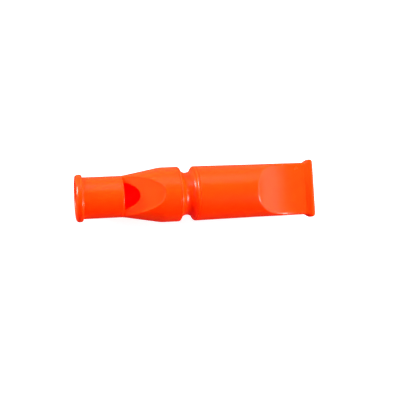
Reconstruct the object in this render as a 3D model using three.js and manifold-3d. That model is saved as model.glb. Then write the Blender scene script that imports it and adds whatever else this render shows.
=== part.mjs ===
// A two-ended plastic training whistle. A pealess "peep" whistle with a round mouthpiece
// and a pea "trill" whistle with a flat bite mouthpiece share one waist coupling, whose
// groove takes the lanyard. Millimetres, +Z up, long axis along X.
//
// Every piece is worked out in the whistle frame: x is the distance from the round mouth,
// z the height over the common axis. One group then sets the whistle on z = 0.

import * as THREE from "three";
import { mergeVertices } from "three/addons/utils/BufferGeometryUtils.js";
import Module from "manifold-3d";

// Driving dimensions

// shared sizes and fits
const barrelRadius = 9.7; // outside of both barrels
const fitGap = 0.3; // clearance between pieces that are pressed or cemented together

// peep barrel, from the round mouth
const peepLength = 35.25; // round mouth to the waist coupling's rim
const tubeRadius = 7.2;
const tubeWall = 1.65;
const beadProud = 0.95; // how far the mouthpiece bead stands over the tube
const beadLength = 2.5;
const peepWall = 2; // barrel's wall at the waist end, round the coupling's spigot
const boreTaperStart = 24;
const boreTaperEnd = 29.4;
const windowStart = 16; // square edge of the sound window
const coneEnd = 29.2;
const rampEnd = 29.95; // where the window's ramp leaves the barrel
const rampDrop = 3.18; // ramp at the window's square edge, below the top of the bore

// peep windway plug
const peepWindway = 1.95; // height of the air slot over the plug
const peepPlugInset = 0.8; // plug's outer face, inside the mouth

// waist coupling
const grooveRadius = 2.7; // section of the lanyard groove
const grooveDepth = 2.2;
const grooveEdge = 0.5; // rounding where the groove meets the rims
const rimLength = 0.3; // full-size rim on each side of the groove
const spigotLength = 3.5;
const couplingWall = 1.9;
const couplingWeb = 2.4; // wall between the two chambers

// trill barrel, from the coupling to the flat mouth
const trillWall = 1.7;
const tongueRun = 9.5; // length of the ramp under the barrel
const tongueTip = 0.4; // thickness of the ramp's edge
const tongueLift = 0.5; // edge of the ramp, over the windway's floor
const trillWindowLength = 4.8;
const trillWindowWidth = 11.5;
const windowInScoop = 3.9; // how far the window runs into the scooped stretch
const upperScoop = 23; // radius of the concave run from the barrel down to the upper flat
const upperFlat = 1.5; // upper flat of the bite mouthpiece, over the axis
const biteLength = 6.8; // upper flat's length, with the lip
const lowerScoop = 13.9; // radius of the run up to the lower flat
const lowerFlat = 4.8; // lower flat, under the axis
const lipLength = 3.3;
const lipProud = 1.08;
const throatRadius = 3;
const throatLength = 5;
const scoopWall = 2.5; // length of full wall between the chamber's taper and the scoop

// trill windway and its plug
const pocketWidth = 13;
const pocketRoofWall = 0.9;
const pocketFloorWall = 1.1;
const trillWindway = 1.4;
const trillPlugInset = 1;

// pea
const peaRadius = 4.3;
const peaRunning = 0.3; // clearance to the chamber wall
const peaFromSpigot = 0.5;
const peaOverRamp = 2.35; // how far the pea reaches over the foot of the window's ramp

const roundSteps = 56;
const pastEnd = 2; // how far a cutting shape runs past the face that it opens

// Derived places

// The groove's arc meets a rounding on each rim; they are tangent at an angle of grooveRise.
const neckRadius = barrelRadius - grooveDepth;
const grooveCentre = neckRadius + grooveRadius;
const edgeCentre = barrelRadius - grooveEdge;
const grooveRise = Math.asin((grooveCentre - edgeCentre) / (grooveRadius + grooveEdge));
const edgeRun = (grooveRadius + grooveEdge) * Math.cos(grooveRise);
const waistCentre = peepLength + rimLength + edgeRun;
const waistEnd = waistCentre + edgeRun + rimLength;

const peepEnd = peepLength - fitGap;
const mouthBoreRadius = tubeRadius - tubeWall;
const peepBoreRadius = barrelRadius - peepWall;
const peepPlugRadius = mouthBoreRadius - fitGap;

const trillStart = waistEnd + fitGap;
const trillBoreRadius = barrelRadius - trillWall;
const spigotEnd = trillStart + spigotLength;
const peaPlace = spigotEnd + peaFromSpigot + peaRadius;
const peaOrbit = trillBoreRadius - peaRadius - peaRunning;
const tongueRoot = peaPlace + peaRadius - peaOverRamp;
const windowEdge = tongueRoot + tongueRun;
const windowFront = windowEdge + trillWindowLength;
const scoopStart = windowFront - windowInScoop;
const scoopRun = (radius, flat) => Math.sqrt(radius ** 2 - (radius + flat - barrelRadius) ** 2);
const overallLength = scoopStart + scoopRun(upperScoop, upperFlat) + biteLength;
const chamberTaper = scoopStart - scoopWall;
const pocketTop = upperFlat - pocketRoofWall;
const pocketFloor = pocketFloorWall - lowerFlat;

// Finishes

const orangePlastic = new THREE.MeshStandardMaterial({ color: 0xf94d0c, roughness: 0.22, metalness: 0 });
const corkFinish = new THREE.MeshStandardMaterial({ color: 0xb98a5a, roughness: 0.9, metalness: 0 });

// Solids

const wasm = await Module();
wasm.setup();

// A closed geometry as a solid: shared vertices merged, collapsed triangles dropped.
function toSolid(geometry) {
  const bare = geometry.clone();
  bare.deleteAttribute("normal");
  bare.deleteAttribute("uv");
  const merged = mergeVertices(bare, 1e-4);
  const index = merged.getIndex().array;
  const corners = [];
  for (let i = 0; i < index.length; i += 3) {
    const [a, b, c] = [index[i], index[i + 1], index[i + 2]];
    if (a !== b && b !== c && c !== a) corners.push(a, b, c);
  }
  const vertProperties = new Float32Array(merged.getAttribute("position").array);
  const triVerts = new Uint32Array(corners);
  return new wasm.Manifold(new wasm.Mesh({ numProp: 3, vertProperties, triVerts }));
}

function toGeometry(solid) {
  const mesh = solid.getMesh();
  const geometry = new THREE.BufferGeometry();
  geometry.setAttribute("position", new THREE.BufferAttribute(new Float32Array(mesh.vertProperties), 3));
  geometry.setIndex(new THREE.BufferAttribute(new Uint32Array(mesh.triVerts), 1));
  geometry.computeVertexNormals();
  return geometry;
}

// A solid of revolution about X, from [x, radius] pairs that start and end on the axis.
function turned(profile) {
  const points = profile.map(([x, radius]) => new THREE.Vector2(radius, x));
  const lathe = new THREE.LatheGeometry(points, roundSteps);
  lathe.rotateZ(-Math.PI / 2);
  return toSolid(lathe);
}

// A side view, [x, z] pairs, given a width across Y.
function sideCut(outline, width) {
  const shape = new THREE.Shape(outline.map(([x, z]) => new THREE.Vector2(x, z)));
  const slab = new THREE.ExtrudeGeometry(shape, { depth: width, bevelEnabled: false });
  slab.translate(0, 0, -width / 2);
  slab.rotateX(Math.PI / 2);
  return toSolid(slab);
}

// An end view in Y and Z, carried along X from the given place.
function endRun(shape, from, options) {
  const run = new THREE.ExtrudeGeometry(shape, options);
  const axes = new THREE.Matrix4().makeBasis(
    new THREE.Vector3(0, 1, 0),
    new THREE.Vector3(0, 0, 1),
    new THREE.Vector3(1, 0, 0),
  );
  run.applyMatrix4(axes);
  run.translate(from, 0, 0);
  return toSolid(run);
}

// Points on a circular arc of a side view, from one angle to another, in radians.
function arc(centreX, centreZ, radius, from, to, steps) {
  const points = [];
  for (let i = 0; i <= steps; i += 1) {
    const angle = from + ((to - from) * i) / steps;
    points.push([centreX + radius * Math.cos(angle), centreZ + radius * Math.sin(angle)]);
  }
  return points;
}

// Peep whistle

function peepBarrel() {
  const beadCentre = tubeRadius + beadProud - beadLength / 2;
  const beadFoot = Math.asin((tubeRadius - beadCentre) / (beadLength / 2));
  const bead = arc(beadLength / 2, beadCentre, beadLength / 2, Math.PI, beadFoot, 10);
  const outside = turned([[0, 0], ...bead, [windowStart, tubeRadius], [coneEnd, barrelRadius],
    [peepEnd, barrelRadius], [peepEnd, 0]]);
  const bore = turned([[-pastEnd, 0], [-pastEnd, mouthBoreRadius], [boreTaperStart, mouthBoreRadius],
    [boreTaperEnd, peepBoreRadius], [peepEnd + pastEnd, peepBoreRadius], [peepEnd + pastEnd, 0]]);
  const rampFoot = mouthBoreRadius - rampDrop;
  const rampSlope = (barrelRadius - rampFoot) / (rampEnd - windowStart);
  const windowTop = barrelRadius + pastEnd;
  const window = sideCut([[windowStart, rampFoot], [rampEnd + pastEnd / rampSlope, windowTop],
    [windowStart, windowTop]], 2 * windowTop);
  return outside.subtract(bore).subtract(window);
}

function peepWindwayPlug() {
  const rod = turned([[peepPlugInset, 0], [peepPlugInset, peepPlugRadius],
    [windowStart - fitGap, peepPlugRadius], [windowStart - fitGap, 0]]);
  const flat = mouthBoreRadius - peepWindway;
  const above = sideCut([[0, flat], [windowStart, flat], [windowStart, barrelRadius], [0, barrelRadius]],
    2 * barrelRadius);
  return rod.subtract(above);
}

// Waist

function waistCoupling() {
  const peepEdge = arc(waistCentre - edgeRun, edgeCentre, grooveEdge, Math.PI / 2, grooveRise, 3);
  const trillEdge = peepEdge.map(([x, radius]) => [2 * waistCentre - x, radius]).reverse();
  const from = Math.PI + grooveRise;
  const to = 2 * Math.PI - grooveRise;
  const floor = arc(waistCentre, grooveCentre, grooveRadius, from, to, 12);
  const groove = [...peepEdge, ...floor.slice(1, -1), ...trillEdge];
  const peepSpigot = peepBoreRadius - fitGap;
  const trillSpigot = trillBoreRadius - fitGap;
  const peepFace = peepEnd - spigotLength;
  const outside = turned([[peepFace, 0], [peepFace, peepSpigot], [peepLength, peepSpigot],
    [peepLength, barrelRadius], ...groove, [waistEnd, barrelRadius], [waistEnd, trillSpigot],
    [spigotEnd, trillSpigot], [spigotEnd, 0]]);
  const cupRadius = neckRadius - couplingWall;
  const cup = (near, far) => turned([[near, 0], [near, cupRadius], [far, cupRadius], [far, 0]]);
  const peepCup = cup(peepFace - pastEnd, waistCentre - couplingWeb / 2);
  const trillCup = cup(waistCentre + couplingWeb / 2, spigotEnd + pastEnd);
  return outside.subtract(peepCup).subtract(trillCup);
}

// Trill whistle

// Side view of what one scoop takes away: an arc from the barrel down to the flat.
function scoopOutline(radius, flat) {
  const centre = flat + radius;
  const startAngle = Math.PI + Math.asin((centre - barrelRadius) / radius);
  const run = arc(scoopStart + scoopRun(radius, flat), centre, radius, startAngle, 1.5 * Math.PI, 8);
  const clear = barrelRadius + pastEnd;
  const past = overallLength + pastEnd;
  return [[scoopStart, clear], ...run, [past, flat], [past, clear]];
}

// The round bar, scooped over and under to the flats of the bite mouthpiece.
function trillOutside() {
  const bar = turned([[trillStart, 0], [trillStart, barrelRadius], [overallLength, barrelRadius],
    [overallLength, 0]]);
  const width = 2 * (barrelRadius + pastEnd);
  const upper = scoopOutline(upperScoop, upperFlat);
  const lower = scoopOutline(lowerScoop, lowerFlat).map(([x, z]) => [x, -z]).reverse();
  return bar.subtract(sideCut(upper, width)).subtract(sideCut(lower, width)).add(lip());
}

// The bead round the bite mouthpiece: the flattened section grown by lipProud, with round edges.
function lip() {
  const over = Math.asin(upperFlat / barrelRadius);
  const under = Math.asin(lowerFlat / barrelRadius);
  const shape = new THREE.Shape();
  shape.absarc(0, 0, barrelRadius, -under, over, false);
  shape.absarc(0, 0, barrelRadius, Math.PI - over, Math.PI + under, false);
  const crest = lipLength / 2;
  const crestFlat = 0.01;
  return endRun(shape, overallLength - crest, {
    depth: crestFlat,
    bevelThickness: crest - crestFlat,
    bevelSize: lipProud,
    bevelSegments: 4,
    curveSegments: 10,
  });
}

// Chamber with its tapered throat. The ramp thins from the barrel's wall to the tip, and all
// the space under its inner face stays solid.
function trillChamber() {
  const bore = turned([[trillStart - pastEnd, 0], [trillStart - pastEnd, trillBoreRadius],
    [chamberTaper, trillBoreRadius], [chamberTaper + throatLength, throatRadius],
    [chamberTaper + throatLength, 0]]);
  const tip = pocketFloor + tongueLift;
  const kept = sideCut([[tongueRoot, -trillBoreRadius], [tongueRoot, -barrelRadius],
    [windowEdge, -barrelRadius], [windowEdge, tip + tongueTip]], 2 * barrelRadius);
  return bore.subtract(kept);
}

function trillWindow() {
  const tip = pocketFloor + tongueLift;
  const slope = (tip + barrelRadius) / tongueRun;
  const below = -barrelRadius - pastEnd;
  return sideCut([[tongueRoot - pastEnd / slope, below], [windowFront, below],
    [windowFront, 0], [windowEdge, 0], [windowEdge, tip]], trillWindowWidth);
}

function trillBarrel() {
  const pocket = sideCut([[windowFront - pastEnd, pocketFloor], [overallLength + pastEnd, pocketFloor],
    [overallLength + pastEnd, pocketTop], [windowFront - pastEnd, pocketTop]], pocketWidth);
  return trillOutside().subtract(trillChamber()).subtract(trillWindow()).subtract(pocket);
}

function trillWindwayPlug() {
  const floor = pocketFloor + trillWindway;
  const roof = pocketTop - fitGap;
  const back = overallLength - trillPlugInset;
  return sideCut([[windowFront, floor], [back, floor], [back, roof], [windowFront, roof]],
    pocketWidth - 2 * fitGap);
}

// Assembly

const whistle = new THREE.Group();
whistle.position.set(-overallLength / 2, 0, barrelRadius);

function place(name, geometry, finish) {
  const mesh = new THREE.Mesh(geometry, finish);
  mesh.name = name;
  whistle.add(mesh);
  return mesh;
}

place("peep_barrel", toGeometry(peepBarrel()), orangePlastic);
place("peep_windway_plug", toGeometry(peepWindwayPlug()), orangePlastic);
place("waist_coupling", toGeometry(waistCoupling()), orangePlastic);
place("trill_barrel", toGeometry(trillBarrel()), orangePlastic);
place("trill_windway_plug", toGeometry(trillWindwayPlug()), orangePlastic);
const pea = place("cork_pea", new THREE.SphereGeometry(peaRadius, 24, 16), corkFinish);
pea.position.set(peaPlace, 0, -peaOrbit);

export default whistle;
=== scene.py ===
import math

import bpy
import numpy as np
from mathutils import Matrix, Vector


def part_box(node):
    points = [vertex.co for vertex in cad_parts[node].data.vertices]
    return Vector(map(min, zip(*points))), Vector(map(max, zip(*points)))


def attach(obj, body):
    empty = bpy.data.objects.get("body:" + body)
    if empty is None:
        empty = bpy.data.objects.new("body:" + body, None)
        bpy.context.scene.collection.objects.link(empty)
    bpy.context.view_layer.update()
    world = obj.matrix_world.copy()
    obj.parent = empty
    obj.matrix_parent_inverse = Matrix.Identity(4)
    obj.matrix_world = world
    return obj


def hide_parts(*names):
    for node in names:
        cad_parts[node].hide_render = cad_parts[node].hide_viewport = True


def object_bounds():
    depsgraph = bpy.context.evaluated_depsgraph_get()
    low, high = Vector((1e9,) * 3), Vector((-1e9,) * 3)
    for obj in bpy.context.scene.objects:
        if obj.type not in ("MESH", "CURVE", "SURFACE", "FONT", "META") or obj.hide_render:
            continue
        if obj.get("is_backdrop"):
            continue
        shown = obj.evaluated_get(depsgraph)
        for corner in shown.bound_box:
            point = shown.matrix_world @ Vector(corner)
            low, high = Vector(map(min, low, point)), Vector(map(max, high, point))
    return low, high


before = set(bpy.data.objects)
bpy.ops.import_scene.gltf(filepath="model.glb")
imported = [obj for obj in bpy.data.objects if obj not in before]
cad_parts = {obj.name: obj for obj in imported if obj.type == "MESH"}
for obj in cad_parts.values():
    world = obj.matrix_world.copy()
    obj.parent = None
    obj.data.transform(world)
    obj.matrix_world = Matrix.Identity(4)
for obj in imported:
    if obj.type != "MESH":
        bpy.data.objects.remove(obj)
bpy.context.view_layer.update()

# A double-ended training whistle in glossy orange plastic. Shapes are worked out in whistle
# millimetres: s runs along the axis from the round mouth, y across, h up from the axis.

mm = 0.001
farAway = 1000.0  # a cut that reaches nothing


def span(node, axis):
    low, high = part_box(node)
    return low[axis] / mm, high[axis] / mm


mouthX = span("peep_barrel", 0)[0]
couplingBottom, couplingTop = span("waist_coupling", 2)
axisZ = (couplingTop + couplingBottom) / 2
barrelRadius = (couplingTop - couplingBottom) / 2


def reach(node):
    # first and last place of a node along the whistle
    low, high = span(node, 0)
    return low - mouthX, high - mouthX


peepEnd = reach("peep_barrel")[1]
trillStart, trillEnd = reach("trill_barrel")
print("frame read: whistle", round(trillEnd, 2), "mm long")

finish = {
    "frameGap": 0.3,    # what the frame leaves between cemented pieces
    "joint": 0.1,       # the hairline that is left here
    "rim": 0.06,        # rounding of a rim at such a joint
    "around": 240,      # steps round each barrel
    "rowStep": 0.3,     # longest step along a profile
    "fineStep": 0.2,    # the same where the outside can be seen
    "arcSteps": 7,      # steps along a rounding, for each radian of turn
    "sharpAngle": 32,   # edges steeper than this stay crisp, degrees
    "past": 2.0,        # how far a cut runs past the face that it opens
}

closing = finish["frameGap"] - finish["joint"]  # how far a piece grows towards its neighbour


def roundedPath(corners, longest=None):
    # straight lines through the corners (s, radius, rounding), where each rounding is an arc
    # tangent to both lines: centre on the bisector, at rounding over the sine of half the angle
    longest = longest or finish["rowStep"]
    points = np.array([c[:2] for c in corners], float)
    stations = [points[:1]]
    for before, corner, after, (_, _, rounding) in zip(points, points[1:], points[2:], corners[1:]):
        if rounding <= 0:
            stations.append(corner[None])
            continue
        back, on = before - corner, after - corner
        back, on = back / np.linalg.norm(back), on / np.linalg.norm(on)
        half = math.acos(np.clip(back @ on, -1, 1)) / 2
        centre = corner + (back + on) / np.linalg.norm(back + on) * rounding / math.sin(half)
        first = (corner + back * rounding / math.tan(half) - centre) / rounding
        last = (corner + on * rounding / math.tan(half) - centre) / rounding
        turn = math.pi - 2 * half
        t = np.linspace(0, 1, max(4, int(turn * finish["arcSteps"])))[:, None]
        arc = (np.sin((1 - t) * turn) * first + np.sin(t * turn) * last) / math.sin(turn)
        stations.append(centre + rounding * arc)
    stations.append(points[-1:])
    path = np.concatenate(stations)
    keep = np.linalg.norm(np.diff(path, axis=0), axis=1) > 1e-4
    path = path[np.concatenate([[True], keep])]
    gaps = np.linalg.norm(np.diff(path, axis=0), axis=1)
    along = np.concatenate([[0], np.cumsum(gaps)])
    counts = np.maximum(1, np.ceil(gaps / longest)).astype(int)
    legs = zip(along, along[1:], counts)
    fine = np.concatenate([np.linspace(a, b, n, endpoint=False) for a, b, n in legs] + [along[-1:]])
    return np.stack([np.interp(fine, along, path[:, k]) for k in (0, 1)], axis=1)


def smaller(a, b, soft):
    # the smaller of two lengths, with the crossing rounded off by soft
    return (a + b - np.sqrt((a - b) ** 2 + 4 * soft ** 2)) / 2


def larger(a, b, soft):
    # the larger of two lengths, with the crossing rounded off by soft
    return (a + b + np.sqrt((a - b) ** 2 + 4 * soft ** 2)) / 2


def angles(count=None):
    return np.arange(count or finish["around"]) * 2 * math.pi / (count or finish["around"])


def flatAt(height, side):
    # radius at which a flat at this height over the centre is met, looking outwards at side,
    # the sine of the angle: height / side, and nothing on the other half
    return np.where(side > 1e-3, height / np.maximum(side, 1e-3), farAway)


def skin(name, place, radius, centreH=0.0, turn=None):
    # a surface round the axis: the point at angle a of row i is
    # (place[i], radius[i, a] cos a, centreH[i] + radius[i, a] sin a); first and last row are poles
    count = radius.shape[1]
    a = angles(count) if turn is None else turn
    middle = np.broadcast_to(centreH, place.shape)
    ring = np.stack([np.broadcast_to(place[:, None], radius.shape), radius * np.cos(a),
                     middle[:, None] + radius * np.sin(a)], axis=2)
    return closedMesh(name, ring)


def closedMesh(name, ring):
    # quads between the inner rows; the first and last row close in a pole at their middle
    count = ring.shape[1]
    inner = ring[1:-1].reshape(-1, 3)
    poles = ring[[0, -1]].mean(axis=1)
    rows = len(ring) - 2
    grid = np.arange(rows * count).reshape(rows, count)
    onward = np.roll(grid, -1, axis=1)
    quads = np.stack([grid[:-1], onward[:-1], onward[1:], grid[1:]], axis=2).reshape(-1, 4)
    start, end = np.full(count, rows * count), np.full(count, rows * count + 1)
    startFan = np.stack([onward[0], grid[0], start], axis=1)
    endFan = np.stack([grid[-1], onward[-1], end], axis=1)
    faces = quads.tolist() + startFan.tolist() + endFan.tolist()
    return newMesh(name, np.concatenate([inner, poles]), faces)


def newMesh(name, points, faces):
    # whistle millimetres to metres in the frame
    placed = (np.asarray(points, float) + [mouthX, 0, axisZ]) * mm
    mesh = bpy.data.meshes.new(name)
    mesh.from_pydata(placed.tolist(), [], faces)
    mesh.update()
    piece = bpy.data.objects.new(name, mesh)
    bpy.context.scene.collection.objects.link(piece)
    return piece


def turned(name, corners):
    # a profile carried round the axis
    path = roundedPath(corners)
    return skin(name, path[:, 0], np.repeat(path[:, 1:], finish["around"], axis=1))


def cutOut(piece, *cutters):
    # takes the cutters away from the piece and keeps the result as its own mesh
    for cutter in cutters:
        cut = piece.modifiers.new("cut", "BOOLEAN")
        cut.operation, cut.solver, cut.object = "DIFFERENCE", "MANIFOLD", cutter
    bpy.context.view_layer.update()
    ready = piece.evaluated_get(bpy.context.evaluated_depsgraph_get())
    made = bpy.data.meshes.new_from_object(ready)
    piece.modifiers.clear()
    piece.data = made
    for cutter in cutters:
        bpy.data.objects.remove(cutter)
    return piece


def finishPiece(piece, body, node, material):
    piece.data.polygons.foreach_set("use_smooth", np.ones(len(piece.data.polygons), bool))
    piece.data.set_sharp_from_angle(angle=math.radians(finish["sharpAngle"]))
    piece.data.materials.clear()
    piece.data.materials.append(material)
    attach(piece, body)
    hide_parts(node)
    print(piece.name, len(piece.data.polygons), "faces")


def nodeMaker(material):
    tree = material.node_tree

    def add(kind, **values):
        node = tree.nodes.new(kind)
        for key, value in values.items():
            if key.startswith("in_"):
                node.inputs[key[3:].replace("_", " ")].default_value = value
            else:
                setattr(node, key, value)
        return node

    def join(out, into):
        tree.links.new(out, into)

    return add, join


orangeLook = {          # tones of red, green and blue light
    "deep": (0.95, 0.052, 0.0003, 1),
    "bright": (1.0, 0.064, 0.0006, 1),
    "flowScale": 90,     # slow change of tone and gloss, waves in a metre
    "flowDetail": 3.0,
    "flowRough": 0.55,
    "roughLow": 0.2,
    "roughHigh": 0.3,
    "grainScale": 2600,  # the fine skin of the moulding
    "grainDetail": 2.0,
    "grainStrength": 0.04,
    "grainDepth": 0.05,  # mm
    "ior": 1.49,
    "soak": 0.35,        # share of light that goes into the plastic
    "soakSpread": (1.0, 0.12, 0.05),
    "soakDepth": 3.0,    # mm
    "paintedGlow": 0.42,        # painted red light: a constant red glow, no lamp, that lifts the shaded sides and hollows
    "shine": 0.5,
}


def orangePlastic():
    look = orangeLook
    material = bpy.data.materials.new("orangePlastic")
    material.use_nodes = True
    add, join = nodeMaker(material)
    shader = material.node_tree.nodes["Principled BSDF"]
    where = add("ShaderNodeTexCoord")
    flow = add("ShaderNodeTexNoise", in_Scale=look["flowScale"],
               in_Detail=look["flowDetail"], in_Roughness=look["flowRough"])
    join(where.outputs["Object"], flow.inputs["Vector"])
    tone = add("ShaderNodeMix", data_type="RGBA")
    tone.inputs["A"].default_value = look["deep"]
    tone.inputs["B"].default_value = look["bright"]
    join(flow.outputs["Fac"], tone.inputs["Factor"])
    join(tone.outputs["Result"], shader.inputs["Base Color"])
    grain = add("ShaderNodeTexNoise", in_Scale=look["grainScale"], in_Detail=look["grainDetail"])
    join(where.outputs["Object"], grain.inputs["Vector"])
    worn = add("ShaderNodeMapRange")
    worn.inputs["To Min"].default_value = look["roughLow"]
    worn.inputs["To Max"].default_value = look["roughHigh"]
    join(flow.outputs["Fac"], worn.inputs["Value"])
    join(worn.outputs["Result"], shader.inputs["Roughness"])
    bump = add("ShaderNodeBump", in_Strength=look["grainStrength"],
               in_Distance=look["grainDepth"] * mm)
    join(grain.outputs["Fac"], bump.inputs["Height"])
    join(bump.outputs["Normal"], shader.inputs["Normal"])
    shader.inputs["IOR"].default_value = look["ior"]
    shader.inputs["Specular IOR Level"].default_value = look["shine"]
    shader.inputs["Subsurface Weight"].default_value = look["soak"]
    shader.inputs["Subsurface Radius"].default_value = look["soakSpread"]
    shader.inputs["Subsurface Scale"].default_value = look["soakDepth"] * mm
    # painted light: the plastic glows a constant red everywhere, which brightens its shaded sides
    # and hollows
    shader.inputs["Emission Color"].default_value = (1, 0, 0, 1)
    shader.inputs["Emission Strength"].default_value = look["paintedGlow"]
    return material


corkLook = {
    "light": (0.50, 0.29, 0.13, 1),
    "dark": (0.22, 0.105, 0.04, 1),
    "grains": 900,       # in a metre
    "pits": 2200,
    "pitDetail": 4.0,
    "pitRough": 0.7,
    "pitStrength": 0.6,
    "pitDepth": 0.2,     # mm
    "roughness": 0.92,
}


def corkGrain():
    look = corkLook
    material = bpy.data.materials.new("corkGrain")
    material.use_nodes = True
    add, join = nodeMaker(material)
    shader = material.node_tree.nodes["Principled BSDF"]
    where = add("ShaderNodeTexCoord")
    cells = add("ShaderNodeTexVoronoi", in_Scale=look["grains"])
    join(where.outputs["Object"], cells.inputs["Vector"])
    specks = add("ShaderNodeTexNoise", in_Scale=look["pits"],
                 in_Detail=look["pitDetail"], in_Roughness=look["pitRough"])
    join(where.outputs["Object"], specks.inputs["Vector"])
    spread = add("ShaderNodeSeparateColor")
    join(cells.outputs["Color"], spread.inputs["Color"])
    mixed = add("ShaderNodeMath", operation="MULTIPLY")
    join(spread.outputs["Red"], mixed.inputs[0])
    join(specks.outputs["Fac"], mixed.inputs[1])
    tone = add("ShaderNodeMix", data_type="RGBA")
    tone.inputs["A"].default_value = look["light"]
    tone.inputs["B"].default_value = look["dark"]
    join(mixed.outputs["Value"], tone.inputs["Factor"])
    join(tone.outputs["Result"], shader.inputs["Base Color"])
    bump = add("ShaderNodeBump", in_Strength=look["pitStrength"],
               in_Distance=look["pitDepth"] * mm)
    join(specks.outputs["Fac"], bump.inputs["Height"])
    join(bump.outputs["Normal"], shader.inputs["Normal"])
    shader.inputs["Roughness"].default_value = look["roughness"]
    return material


plastic = orangePlastic()
cork = corkGrain()
print("materials made")


peep = {
    "tubeRadius": 7.2,
    "beadRadius": 8.15,
    "beadLength": 2.45,
    "beadRound": 1.1,
    "beadBack": 0.8,
    "beadFoot": 0.12,
    "draft": 0.03,       # what the tube gains along its length
    "coneDraft": 0.04,   # what the cone still lacks at its end
    "mouthBore": 5.55,
    "mouthRound": 0.6,
    "chamberBore": 7.7,
    "taperStart": 24.0,
    "taperEnd": 29.4,
    "boreBlends": (5, 3),
    "windowEdge": 16.0,
    "windowRound": 0.5,
    "roundSteps": 10,
    "wallSteps": 18,
    "wallLean": 0.02,    # how far the square wall leans
    "wallSoft": 0.06,
    "coneEnd": 29.3,
    "coneBlends": (14, 11),
    "rampFoot": 2.75,
    "rampEnd": 29.95,
    "rampSoft": 0.1,
    "ridge": 0.17,       # fine raised line round the ramp
    "ridgeWidth": 0.17,
}


def peepBarrel():
    # radius at angle a = the smaller of the outside profile and the window's cut, and the cut is
    # the larger of the square wall and the ramp's height over sin a; where profile and cut cross,
    # a bell curve of their difference adds the fine raised line
    p = peep
    end = peepEnd + closing
    edge, rounding, tube = p["windowEdge"], p["windowRound"], p["tubeRadius"]
    tubeBlend, coneBlend = p["coneBlends"]
    outside = roundedPath([
        (0, 0, 0), (0, p["beadRadius"], p["beadRound"]),
        (p["beadLength"], p["beadRadius"], p["beadBack"]),
        (p["beadLength"], tube - p["draft"], p["beadFoot"]), (edge, tube, tubeBlend),
        (p["coneEnd"], barrelRadius - p["coneDraft"], coneBlend),
        (end, barrelRadius, finish["rim"]), (end, 0, 0)], finish["fineStep"])
    before = outside[outside[:, 0] < edge - rounding]
    after = outside[outside[:, 0] > edge + 1.5 * p["wallLean"]]
    bend = np.linspace(0, math.pi / 2, p["roundSteps"])
    arcPlace = edge - rounding + rounding * np.sin(bend)
    arcWall = tube - rounding + rounding * np.cos(bend)
    wallPlace = edge + np.linspace(0.001, p["wallLean"], p["wallSteps"])
    wallRadius = np.linspace(tube - rounding, 0, p["wallSteps"] + 1)[1:]
    place = np.concatenate([before[:, 0], arcPlace, wallPlace, after[:, 0]])
    level = np.full(p["roundSteps"] + p["wallSteps"], tube)
    profile = np.concatenate([before[:, 1], level, after[:, 1]])
    solid, opened = np.full(len(before), farAway), np.zeros(len(after))
    wall = np.concatenate([solid, arcWall, wallRadius, opened])
    rise = (barrelRadius - p["rampFoot"]) / (p["rampEnd"] - edge)
    height = p["rampFoot"] + rise * np.maximum(0, place - edge)
    ramp = flatAt(height[:, None], np.sin(angles())[None])
    cut = larger(wall[:, None], ramp, p["wallSoft"])
    radius = smaller(profile[:, None], cut, p["rampSoft"] * (profile > 1)[:, None])
    onRamp = (place > edge + rounding)[:, None]
    crossing = np.where(onRamp, (profile[:, None] - cut) / p["ridgeWidth"], farAway)
    radius = radius + p["ridge"] * np.exp(-crossing ** 2)
    barrel = skin("peepBarrel", place, radius)
    mouth, chamber, past = p["mouthBore"], p["chamberBore"], finish["past"]
    flare = mouth + p["mouthRound"]
    startBlend, endBlend = p["boreBlends"]
    bore = turned("bore", [
        (-past, 0, 0), (-past, flare, 0), (0, flare, 0), (0, mouth, p["mouthRound"]),
        (p["taperStart"], mouth, startBlend), (p["taperEnd"], chamber, endBlend),
        (end + past, chamber, 0), (end + past, 0, 0)])
    return cutOut(barrel, bore)


finishPiece(peepBarrel(), "whistle", "peep_barrel", plastic)


peepPlug = {
    "flatHeight": 3.6,
    "edgeRound": 0.15,
    "flatSoft": 0.08,
}


def peepWindwayPlug():
    # a rod whose radius at angle a is the smaller of the bore's and the flat's height over sin a
    p = peepPlug
    start, end = reach("peep_windway_plug")
    end += closing
    rod = peep["mouthBore"] - finish["joint"]
    path = roundedPath([(start, 0, 0), (start, rod, p["edgeRound"]),
                        (end, rod, p["edgeRound"]), (end, 0, 0)])
    share = path[:, 1:] / rod
    flat = flatAt(p["flatHeight"], np.sin(angles())[None])
    return skin("peepWindwayPlug", path[:, 0], share * smaller(rod, flat, p["flatSoft"]))


finishPiece(peepWindwayPlug(), "whistle", "peep_windway_plug", plastic)


waist = {
    "grooveRadius": 2.7,
    "grooveDepth": 2.2,
    "grooveEdge": 0.5,
    "spigotWall": 1.9,
    "web": 2.4,
    "spigotRound": 0.3,
    "cupRound": 0.8,
    "floorSteps": 48,
    "edgeSteps": 12,
}


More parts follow.
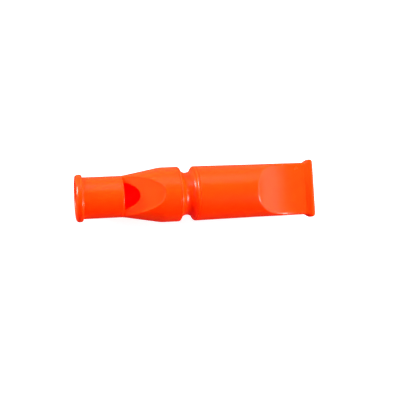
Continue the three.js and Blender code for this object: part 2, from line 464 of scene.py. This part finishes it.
def waistCoupling():
    # a spool: two cups back to back, and a groove whose arc is tangent to a round edge each side
    p = waist
    start, end = reach("waist_coupling")
    left, right = peepEnd + finish["frameGap"], trillStart - finish["frameGap"]
    middle = (left + right) / 2
    grooveCentre = barrelRadius - p["grooveDepth"] + p["grooveRadius"]
    edgeCentre = barrelRadius - p["grooveEdge"]
    both = p["grooveRadius"] + p["grooveEdge"]
    rise = math.asin((grooveCentre - edgeCentre) / both)
    edgeAt = both * math.cos(rise)
    floorTurn = np.linspace(math.pi + rise, 2 * math.pi - rise, p["floorSteps"])
    floor = np.stack([middle + p["grooveRadius"] * np.cos(floorTurn),
                      grooveCentre + p["grooveRadius"] * np.sin(floorTurn)], axis=1)
    edgeTurn = np.linspace(math.pi / 2, rise, p["edgeSteps"])[:-1]
    leftEdge = np.stack([middle - edgeAt + p["grooveEdge"] * np.cos(edgeTurn),
                         edgeCentre + p["grooveEdge"] * np.sin(edgeTurn)], axis=1)
    rightEdge = (leftEdge * [-1, 1] + [2 * middle, 0])[::-1]
    cup = barrelRadius - p["grooveDepth"] - p["spigotWall"]
    peepSpigot = peep["chamberBore"] - finish["joint"]
    trillSpigot = trill["bore"] - finish["joint"]
    into = roundedPath([
        (middle - p["web"] / 2, 0, 0), (middle - p["web"] / 2, cup, p["cupRound"]),
        (start, cup, p["spigotRound"]), (start, peepSpigot, p["spigotRound"]),
        (left, peepSpigot, 0), (left, barrelRadius, finish["rim"]),
        (middle - edgeAt, barrelRadius, 0)])
    out = roundedPath([
        (middle + edgeAt, barrelRadius, 0), (right, barrelRadius, finish["rim"]),
        (right, trillSpigot, 0), (end, trillSpigot, p["spigotRound"]), (end, cup, p["spigotRound"]),
        (middle + p["web"] / 2, cup, p["cupRound"]), (middle + p["web"] / 2, 0, 0)])
    path = np.concatenate([into[:-1], leftEdge, floor, rightEdge, out[1:]])
    return skin("waistCoupling", path[:, 0], np.repeat(path[:, 1:], finish["around"], axis=1))


trill = {
    "bore": 8.0,
    "waistRadius": 9.72,
    "middleRadius": 9.62,
    "scoopStart": 62.88,
    "upperScoop": 23.0,
    "upperFlat": 1.5,
    "lowerScoop": 13.9,
    "lowerFlat": 4.8,
    "edgeSoft": 0.2,
    "flatSoft": 0.42,
    "squash": 0.45,      # crowds the steps towards the side edges
    "lipStart": 84.0,
    "lipReach": 1.0,     # how far before its start the lip may grow the flats
    "lipCrest": 85.75,
    "lipRadius": 10.77,
    "lipRise": 0.88,
    "lipRound": 1.1,
    "lipBlends": (0.6, 0.8),
    "barrelBlend": 60,
    "outsideStep": 0.24,
    "taperStart": 60.38,
    "throatRadius": 3.0,
    "throatEnd": 65.38,
    "rampStart": 52.5,
    "rampRun": 9.5,
    "rampTip": 3.2,
    "rampThick": 0.4,
    "chamberBlends": (1.5, 0.6),
    "chamberSoft": 0.1,
    "windowLength": 4.8,
    "windowWidth": 11.5,
    "windowRound": 0.35,
    "windowSteps": 4,
    "pocketWidth": 13.0,
    "pocketTop": 0.6,
    "pocketFloor": -3.7,
    "pocketRound": 0.5,
    "pocketSoft": 0.25,
}


def scoopHeight(place, radius, flat):
    # height of a flat over the axis: it falls on an arc, centre - sqrt(radius^2 - run^2), from
    # the barrel to the flat, and goes on rising straight before the scoop
    drop = barrelRadius - flat
    run = math.sqrt(drop * (2 * radius - drop))
    left = np.clip(trill["scoopStart"] + run - place, 0, None)
    arc = flat + radius - np.sqrt(radius ** 2 - np.minimum(left, run) ** 2)
    return arc + run / (radius - drop) * np.maximum(0, left - run)


def endShares(place, bar):
    # on both end faces the section shrinks to the axis: its share there, and its full size
    atStart, atEnd = place < place[0] + 1e-6, place > place[-1] - 1e-6
    full = np.where(atStart, bar[atStart].max(), np.where(atEnd, bar[atEnd].max(), bar))
    return bar / full, full


def trillOutside():
    # about a centre that sinks between the flats, the radius at angle a is the smaller of the
    # round bar's, sqrt(bar^2 - (centre cos a)^2) - centre sin a, and the flats' height over
    # |sin a|; the lip grows bar and flats alike, and the end face shrinks them to its middle
    p = trill
    start, end = trillStart - closing, trillEnd
    footBlend, crestBlend = p["lipBlends"]
    path = roundedPath([
        (start, 0, 0), (start, p["waistRadius"], finish["rim"]),
        ((start + end) / 2, p["middleRadius"], p["barrelBlend"]),
        (p["lipStart"], barrelRadius, footBlend), (p["lipCrest"], p["lipRadius"], crestBlend),
        (end, p["lipRadius"], p["lipRound"]), (end, 0, 0)], p["outsideStep"])
    place, bar = path.T
    share, bar = endShares(place, bar)
    byLip = place > p["lipStart"] - p["lipReach"]
    grown = np.where(byLip, p["lipRise"] * (bar - barrelRadius), 0)
    above = scoopHeight(place, p["upperScoop"], p["upperFlat"]) + grown
    below = scoopHeight(place, p["lowerScoop"], p["lowerFlat"]) + grown
    top, bottom = np.minimum(above, barrelRadius), np.minimum(below, barrelRadius)
    middle = ((top - bottom) / 2)[:, None]
    thinnest = p["upperFlat"] + p["lowerFlat"]
    flattened = (2 * barrelRadius - top - bottom) / (2 * barrelRadius - thinnest)
    flattened = np.clip(flattened, 0, 1)[:, None]
    squash = 1 - (1 - p["squash"]) * flattened
    a = np.arctan2(squash * np.sin(angles())[None], np.cos(angles())[None])
    onBar = np.sqrt(bar[:, None] ** 2 - (middle * np.cos(a)) ** 2) - middle * np.sin(a)
    over = flatAt(above[:, None] - middle, np.sin(a))
    under = flatAt(below[:, None] + middle, -np.sin(a))
    soft = p["edgeSoft"] + (p["flatSoft"] - p["edgeSoft"]) * flattened ** 4
    radius = share[:, None] * smaller(onBar, np.minimum(over, under), soft)
    return skin("trillBarrel", place, radius, middle[:, 0], a)


def trillChamber():
    # a round bore, clipped below by the ramp's inner face
    p = trill
    start = trillStart - finish["past"]
    taperBlend, throatBlend = p["chamberBlends"]
    path = roundedPath([
        (start, 0, 0), (start, p["bore"], 0), (p["taperStart"], p["bore"], taperBlend),
        (p["throatEnd"], p["throatRadius"], throatBlend), (p["throatEnd"], 0, 0)])
    inner = p["rampTip"] - p["rampThick"]
    fall = np.clip((path[:, 0] - p["rampStart"]) / p["rampRun"], None, 1)
    below = p["bore"] - fall * (p["bore"] - inner)
    cut = flatAt(below[:, None], -np.sin(angles())[None])
    soft = p["chamberSoft"] * (path[:, 1:] > 0)
    return skin("chamber", path[:, 0], smaller(path[:, 1:], cut, soft))


def trillWindow():
    # the ramp's side view carried across the barrel
    p = trill
    edge = p["rampStart"] + p["rampRun"]
    slope = (barrelRadius - p["rampTip"]) / p["rampRun"]
    past = finish["past"]
    front, below = edge + p["windowLength"], -barrelRadius - past
    outline = np.array([(p["rampStart"] - past / slope, below), (edge, -p["rampTip"]), (edge, 0),
                        (front, 0), (front, below)])
    half, count = p["windowWidth"] / 2, len(outline)
    sides = [np.insert(outline, 1, y, axis=1) for y in (-half, half)]
    walls = [[i, (i + 1) % count, (i + 1) % count + count, i + count] for i in range(count)]
    caps = [list(range(count))[::-1], list(range(count, 2 * count))]
    window = newMesh("window", np.concatenate(sides), walls + caps)
    softened = window.modifiers.new("corners", "BEVEL")
    softened.width, softened.segments = p["windowRound"] * mm, p["windowSteps"]
    softened.limit_method = "ANGLE"
    return window


def roundedBar(name, place, grow, share, halfWidth, halfHeight, centreH, soft):
    # a bar of rectangular section: radius at angle a is the smaller of half the width over
    # |cos a| and half the height over |sin a|
    a = angles()[None]
    across = (halfWidth + grow[:, None]) / np.maximum(np.abs(np.cos(a)), 1e-6)
    upright = (halfHeight + grow[:, None]) / np.maximum(np.abs(np.sin(a)), 1e-6)
    return skin(name, place, share[:, None] * smaller(across, upright, soft), centreH)


def trillPocket():
    # the windway's rectangular bore, with a round edge at the mouth; along the path the section
    # first opens from nothing (0) to its full size (1) and then grows by the rest
    p = trill
    past, flare = finish["past"], p["pocketRound"]
    start, end = p["rampStart"] + p["rampRun"] + p["windowLength"] - past, trillEnd
    path = roundedPath([
        (start, 0, 0), (start, 1, 0), (end, 1, flare), (end, 1 + flare, 0),
        (end + past, 1 + flare, 0), (end + past, 0, 0)])
    place, size = path.T
    low, high = p["pocketFloor"], p["pocketTop"]
    return roundedBar("pocket", place, np.maximum(size - 1, 0), np.minimum(size, 1),
                      p["pocketWidth"] / 2, (high - low) / 2, (high + low) / 2, p["pocketSoft"])


finishPiece(waistCoupling(), "whistle", "waist_coupling", plastic)
barrel = cutOut(trillOutside(), trillChamber(), trillWindow(), trillPocket())
finishPiece(barrel, "whistle", "trill_barrel", plastic)


trillPlug = {
    "edgeRound": 0.2,
    "cornerSoft": 0.2,
}


def trillWindwayPlug():
    # a rectangular bar that fills the bore over the air slot, with round edges at both ends
    p = trillPlug
    start, end = reach("trill_windway_plug")
    low, high = (h - axisZ for h in span("trill_windway_plug", 2))
    high += closing
    halfWidth, halfHeight = trill["pocketWidth"] / 2 - finish["joint"], (high - low) / 2
    path = roundedPath([(start, 0, 0), (start, halfHeight, p["edgeRound"]),
                        (end, halfHeight, p["edgeRound"]), (end, 0, 0)])
    share, full = endShares(*path.T)
    return roundedBar("trillWindwayPlug", path[:, 0], full - halfHeight, share, halfWidth,
                      halfHeight, (high + low) / 2, p["cornerSoft"])


finishPiece(trillWindwayPlug(), "whistle", "trill_windway_plug", plastic)


pea = {
    "rows": 96,
    "around": 128,
    "lumps": (4, 0.06, 10),    # waves round the ball, depth in mm, count
    "pits": (17, 0.05, 30),
    "seed": 7,
}


def corkPea():
    # a ball whose radius is less by a sum of waves over its surface
    p = pea
    low, high = (np.array(corner) / mm - [mouthX, 0, axisZ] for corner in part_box("cork_pea"))
    radius, centre = (high - low)[0] / 2, (low + high) / 2
    down = np.linspace(0, math.pi, p["rows"])[:, None]
    a = angles(p["around"])[None]
    along = np.broadcast_to(-np.cos(down), (p["rows"], p["around"]))
    unit = np.stack([along, np.sin(down) * np.cos(a), np.sin(down) * np.sin(a)], axis=2)
    chance = np.random.default_rng(p["seed"])
    waves = np.zeros(unit.shape[:2])
    for size, depth, count in (p["lumps"], p["pits"]):
        for wave in chance.normal(size=(count, 3)) * size:
            waves += depth / math.sqrt(count) * (np.sin(unit @ wave + chance.uniform(0, 6)) - 1) / 2
    points = centre + unit * (radius + waves[:, :, None])
    return closedMesh("corkPea", points)


finishPiece(corkPea(), "pea", "cork_pea", cork)


studio = {
    "floorSize": 3.0,    # m
    "floorTone": 0.6,
    "floorRough": 0.9,
    "floorGlow": 0.68,
}

room = (                 # axis, where its light starts and is full, strength
    ("Y", -0.3, -0.1, 0.05),    # overhead and beyond
    ("Y", 0.5, 0.68, 0.16),     # past the far side
    ("X", 0.84, 0.93, 0.8),     # past the flat mouth
    ("X", -0.6, -0.9, 0.06),    # past the round mouth
    ("Z", 0, -0.3, 0.05),       # from below
)

lamps = (                # name, direction, distance, width, height (m), power (W), mirrored
    ("rightBox", (0.71, -0.40, 0.55), 0.5, 0.12, 0.10, 1.3, True),
    ("leftBox", (-0.92, 0.38, 0.12), 0.5, 0.16, 0.10, 2.8, True),
    ("farFill", (0.0, 0.84, 0.54), 0.6, 0.9, 0.4, 6.5, False),
    ("rightFill", (0.88, 0.1, 0.46), 0.6, 0.5, 0.3, 3.3, False),
    ("leftFill", (-0.85, 0.15, 0.5), 0.6, 0.5, 0.3, 1.0, False),
)


def layTable():
    half = studio["floorSize"] / 2
    mesh = bpy.data.meshes.new("table")
    corners = [(-half, -half, 0), (half, -half, 0), (half, half, 0), (-half, half, 0)]
    mesh.from_pydata(corners, [], [[0, 1, 2, 3]])
    table = bpy.data.objects.new("table", mesh)
    bpy.context.scene.collection.objects.link(table)
    table.location.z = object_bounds()[0].z
    material = bpy.data.materials.new("tableTop")
    material.use_nodes = True
    shader = material.node_tree.nodes["Principled BSDF"]
    tone = studio["floorTone"]
    shader.inputs["Base Color"].default_value = (tone, tone, tone, 1)
    shader.inputs["Roughness"].default_value = studio["floorRough"]
    shader.inputs["Emission Color"].default_value = (1, 1, 1, 1)
    shader.inputs["Emission Strength"].default_value = studio["floorGlow"]
    mesh.materials.append(material)
    table.visible_glossy = table.visible_diffuse = table.visible_shadow = False
    table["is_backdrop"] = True


def makeWorld():
    # what the plastic mirrors: a dim room, paler past the far side and both ends
    world = bpy.data.worlds.new("room")
    world.use_nodes = True
    bpy.context.scene.world = world
    add, join = nodeMaker(world)
    where = add("ShaderNodeTexCoord")
    split = add("ShaderNodeSeparateXYZ")
    join(where.outputs["Generated"], split.inputs["Vector"])
    total = None
    for axis, first, last, strength in room:
        part = add("ShaderNodeMapRange", interpolation_type="SMOOTHSTEP")
        part.inputs["From Min"].default_value = first
        part.inputs["From Max"].default_value = last
        part.inputs["To Max"].default_value = strength
        join(split.outputs[axis], part.inputs["Value"])
        lit = part.outputs["Result"]
        if total is not None:
            both = add("ShaderNodeMath", operation="ADD")
            join(total, both.inputs[0])
            join(lit, both.inputs[1])
            lit = both.outputs["Value"]
        total = lit
    seen = add("ShaderNodeLightPath")
    pick = add("ShaderNodeMix")
    join(seen.outputs["Is Camera Ray"], pick.inputs["Factor"])
    join(total, pick.inputs["A"])
    pick.inputs["B"].default_value = 1.0
    back = world.node_tree.nodes["Background"]
    back.inputs["Color"].default_value = (1, 1, 1, 1)
    join(pick.outputs["Result"], back.inputs["Strength"])


def softbox(name, direction, distance, width, height, power, mirrored):
    low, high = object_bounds()
    centre = (low + high) / 2
    light = bpy.data.lights.new(name, "AREA")
    light.shape, light.size, light.size_y = "RECTANGLE", width, height
    light.energy = power
    lamp = bpy.data.objects.new(name, light)
    bpy.context.scene.collection.objects.link(lamp)
    way = Vector(direction).normalized()
    lamp.location = centre + way * distance
    lamp.rotation_mode = "QUATERNION"
    lamp.rotation_quaternion = way.to_track_quat("Z", "Y")
    lamp.visible_glossy = mirrored


view = {
    "yaw": 14.33,        # towards the round mouth, degrees
    "pitch": 0.66,       # towards the near side
    "roll": -2.89,
    "tilt": 1.5,         # round the whistle's axis, towards the near side
    "distance": 226.15,  # mm from the aim
    "aim": (0.17, -2.48),
    "lens": 56.9,
    "sensor": 36,
    "clip": (0.01, 10),  # m
}


def placeCamera():
    v = view
    yaw, pitch, roll = (math.radians(v[k]) for k in ("yaw", "pitch", "roll"))
    back = Vector((-math.sin(yaw), -math.sin(pitch) * math.cos(yaw),
                   math.cos(pitch) * math.cos(yaw)))
    across = Vector((0, 1, 0)).cross(back).normalized()
    up = back.cross(across)
    right = math.cos(roll) * across + math.sin(roll) * up
    top = -math.sin(roll) * across + math.cos(roll) * up
    back = right.cross(top)
    aim = Vector((v["aim"][0], v["aim"][1], axisZ)) * mm
    data = bpy.data.cameras.new("camera")
    data.lens, data.sensor_width = v["lens"], v["sensor"]
    data.clip_start, data.clip_end = v["clip"]
    camera = bpy.data.objects.new("camera", data)
    bpy.context.scene.collection.objects.link(camera)
    turn = Matrix((right, top, back)).transposed()
    axis = Matrix.Translation((0, 0, axisZ * mm))
    tilted = axis @ Matrix.Rotation(math.radians(v["tilt"]), 4, "X") @ axis.inverted()
    stand = Matrix.Translation(aim + back * v["distance"] * mm)
    camera.matrix_world = tilted @ stand @ turn.to_4x4()
    bpy.context.scene.camera = camera


layTable()
makeWorld()
for lamp in lamps:
    softbox(*lamp)
placeCamera()
bpy.context.scene.view_settings.view_transform = "Standard"
print("room ready")
